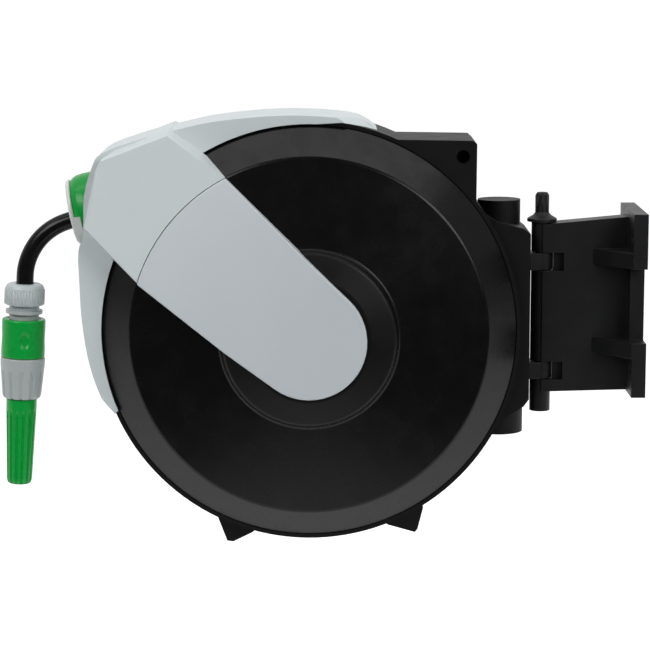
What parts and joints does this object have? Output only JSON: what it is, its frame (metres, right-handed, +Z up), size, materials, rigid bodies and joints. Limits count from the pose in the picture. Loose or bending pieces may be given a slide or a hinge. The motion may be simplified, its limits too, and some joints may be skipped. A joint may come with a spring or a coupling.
{
  "type": "wall mounted hose reel",
  "caption": "Wall mounted spring return hose reel with a round black casing, grey hood, side outlet, hinge bracket and hanging spray nozzle.",
  "frame": {"origin": "middle of the wall screw pattern on the back face of the wall plate", "axes": "+X into the wall, the reel hangs towards -X; +Z up; -Y is the shown side"},
  "size_m": [0.4988, 0.186, 0.334],
  "materials": {
    "black_casing": "satin moulded black",
    "black_bracket": "satin moulded black",
    "grey_hood": "smooth light bluish grey",
    "grey_arm": "smooth light grey",
    "grey_fitting": "smooth mid grey",
    "green_gloss": "glossy green",
    "black_hose": "glossy black hose",
    "steel": "plain steel",
    "brass": "machined brass",
    "drum_plastic": "dark moulded plastic",
    "bearing_plastic": "natural bearing plastic",
    "seal_rubber": "black seal"
  },
  "bodies": {
    "bracket": {"wall_bracket": "black_bracket"},
    "pin": {"hinge_pin": "steel", "pin_knob": "black_bracket"},
    "reel": {"casing_front": "black_casing", "casing_rear": "black_casing", "hinge_block": "black_bracket", "cover_front": "black_casing", "cover_rear": "black_casing", "hood_front": "grey_hood", "hood_rear": "grey_hood", "arm_front": "grey_arm", "arm_rear": "grey_arm", "casing_screws": "steel", "axle": "steel", "axle_bolts": "steel", "inlet_port": "brass", "feed_pipe": "black_hose", "banjo": "brass", "banjo_seals": "seal_rubber", "spring_arbor": "steel", "pawl_pin": "steel", "pawl_spring": "steel", "outlet_lip": "grey_fitting", "outlet_bell": "green_gloss", "roller_frame": "drum_plastic", "roller_axles": "steel", "hose_feed": "black_hose", "hose_tail": "black_hose", "hose_nut": "grey_fitting", "hose_coupling": "grey_fitting", "coupling_seal": "seal_rubber", "nozzle_body": "grey_fitting", "nozzle_stem": "bearing_plastic", "tip_seal": "seal_rubber"},
    "drum": {"drum_front": "drum_plastic", "drum_rear": "drum_plastic", "drum_bushes": "bearing_plastic", "drum_screws": "steel", "water_hub": "brass", "rotary_seals": "seal_rubber", "hose_elbow": "brass", "hose_clamp": "steel", "hose_core": "black_hose", "hose_layer": "black_hose", "spring_cup": "steel", "spring_lid": "steel", "mainspring": "steel", "ratchet_ring": "steel"},
    "pawl": {"pawl": "bearing_plastic"},
    "upper_roller": {"upper_roller": "bearing_plastic"},
    "lower_roller": {"lower_roller": "bearing_plastic"},
    "sleeve": {"release_sleeve": "green_gloss"},
    "tip": {"nozzle_tip": "green_gloss"}
  },
  "joints": [
    {"name": "reel_swivel", "type": "hinge", "parent": "bracket", "child": "reel", "pos_m": [-0.077, 0, 0], "axis": [0, 0, 1], "range_deg": [-80, 80]},
    {"name": "pin_lift", "type": "slide", "parent": "bracket", "child": "pin", "axis": [0, 0, 1], "range_m": [0, 0.15]},
    {"name": "drum_spin", "type": "hinge", "parent": "reel", "child": "drum", "pos_m": [-0.257, 0, -0.02], "axis": [0, 1, 0], "continuous": true},
    {"name": "pawl_tilt", "type": "hinge", "parent": "reel", "child": "pawl", "pos_m": [-0.31902, 0.0505, -0.04257], "axis": [0, -1, 0], "range_deg": [0, 15], "stiffness_Nm_per_rad": 0.02, "springref_deg": -5.73},
    {"name": "upper_roller_spin", "type": "hinge", "parent": "reel", "child": "upper_roller", "pos_m": [-0.40535, 0, 0.0831], "axis": [0, 1, 0], "continuous": true},
    {"name": "lower_roller_spin", "type": "hinge", "parent": "reel", "child": "lower_roller", "pos_m": [-0.39934, 0, 0.06059], "axis": [0, 1, 0], "continuous": true},
    {"name": "sleeve_slide", "type": "slide", "parent": "reel", "child": "sleeve", "axis": [0.0471, 0, 0.9989], "range_m": [0, 0.0035], "stiffness_N_per_m": 600, "springref_m": -0.003},
    {"name": "tip_twist", "type": "hinge", "parent": "reel", "child": "tip", "pos_m": [-0.4785, 0, 0.012], "axis": [-0.0471, 0, -0.9989], "range_deg": [0, 540]}
  ],
  "couplings": [
    {"joint": "upper_roller_spin", "follows": "drum_spin", "ratio": -24.889},
    {"joint": "lower_roller_spin", "follows": "drum_spin", "ratio": 24.889}
  ]
}
